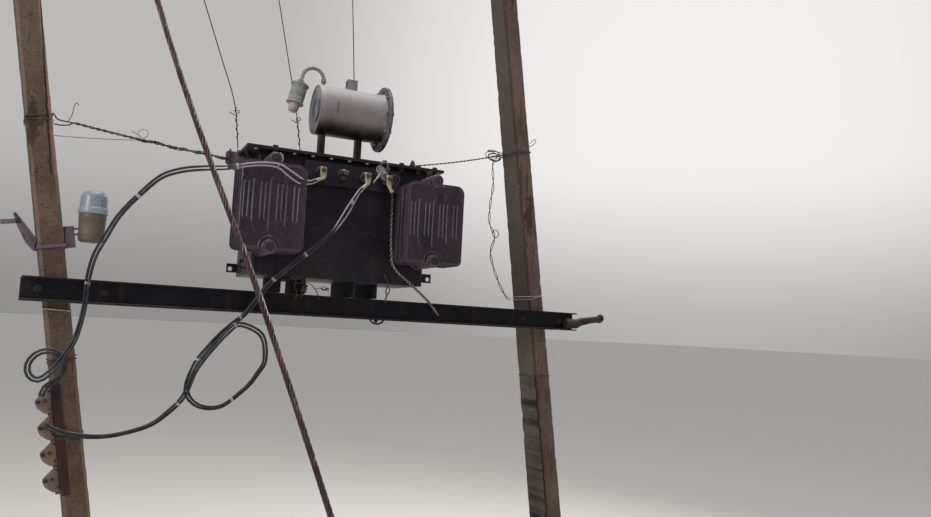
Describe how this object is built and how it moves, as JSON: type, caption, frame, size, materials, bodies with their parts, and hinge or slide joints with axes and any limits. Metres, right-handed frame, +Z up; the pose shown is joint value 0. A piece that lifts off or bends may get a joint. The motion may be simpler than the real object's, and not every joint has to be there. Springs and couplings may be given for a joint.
{
  "type": "pole mounted transformer",
  "caption": "Oil-filled distribution transformer with front radiators and a conservator drum, on a beam platform between leaning concrete poles, with a stay.",
  "frame": {"origin": "middle of the left pole's foot, at ground level", "axes": "+X along the beams to the right pole, +Y away from the front with the radiators, +Z up"},
  "size_m": [3.6412, 2.889, 6.5085],
  "materials": {
    "concrete": "weathered prestressed concrete, stained and chipped",
    "black_steel": "black painted channel with dust and rust",
    "tank_paint": "dark grey paint, faded and oily",
    "radiator_paint": "dusty dark grey paint on pressed steel",
    "cover_paint": "dark paint with rust at the edges",
    "bracket_steel": "old paint over rusty steel",
    "drum_paint": "faded light grey paint with rust runs",
    "galvanised": "dull galvanised steel",
    "rusty_steel": "rusty steel",
    "stay_strand": "rusty stranded wire",
    "conductor": "weathered aluminium wire",
    "tinned": "dull tinned metal with rust stains",
    "stud_brass": "tarnished brass",
    "brown_glaze": "brown glazed porcelain",
    "breather_paint": "pale grey green, weathered",
    "cup_plastic": "cloudy moulded cup",
    "can_paint": "rusty grey can",
    "cap_paint": "pale blue green paint, chalky",
    "board": "pinkish brown moulded board",
    "timber": "grey weathered timber",
    "cable_sheath": "black sheath, faded and dusty"
  },
  "bodies": {
    "root": {"left_pole": "concrete", "right_pole": "concrete", "front_beam": "black_steel", "rear_beam": "black_steel", "tie_bolts": "rusty_steel", "base_channel_left": "black_steel", "base_channel_right": "black_steel", "tank": "tank_paint", "tank_rim": "cover_paint", "cover": "cover_paint", "wall_stiffener": "tank_paint", "lifting_lugs": "bracket_steel", "pulling_lugs": "black_steel", "earth_stud": "rusty_steel", "radiator_left": "radiator_paint", "radiator_right": "radiator_paint", "lv_pocket": "tank_paint", "lv_bushings": "brown_glaze", "lv_studs": "stud_brass", "lv_lugs": "tinned", "hv_pocket": "tank_paint", "hv_bushings": "brown_glaze", "hv_terminals": "stud_brass", "conservator": "drum_paint", "conservator_flange": "drum_paint", "conservator_legs": "bracket_steel", "oil_gauge": "cover_paint", "filler_box": "drum_paint", "breather_pipe": "galvanised", "breather": "breather_paint", "breather_cup": "cup_plastic", "pole_strap": "bracket_steel", "left_bracket": "bracket_steel", "right_bracket": "bracket_steel", "canister": "can_paint", "canister_cap": "cap_paint", "fuse_board": "bracket_steel", "fuse_units": "board", "tie_wires": "rusty_steel", "cross_arm": "galvanised", "arm_clamps": "galvanised", "insulator_pins": "galvanised", "pin_insulators": "brown_glaze", "hv_jumpers": "conductor", "stay_clamp": "rusty_steel", "stay_wire": "stay_strand", "stay_anchor": "rusty_steel", "timber_stub": "timber", "lv_cable_left": "cable_sheath", "lv_cable_right": "cable_sheath"}
  },
  "joints": []
}
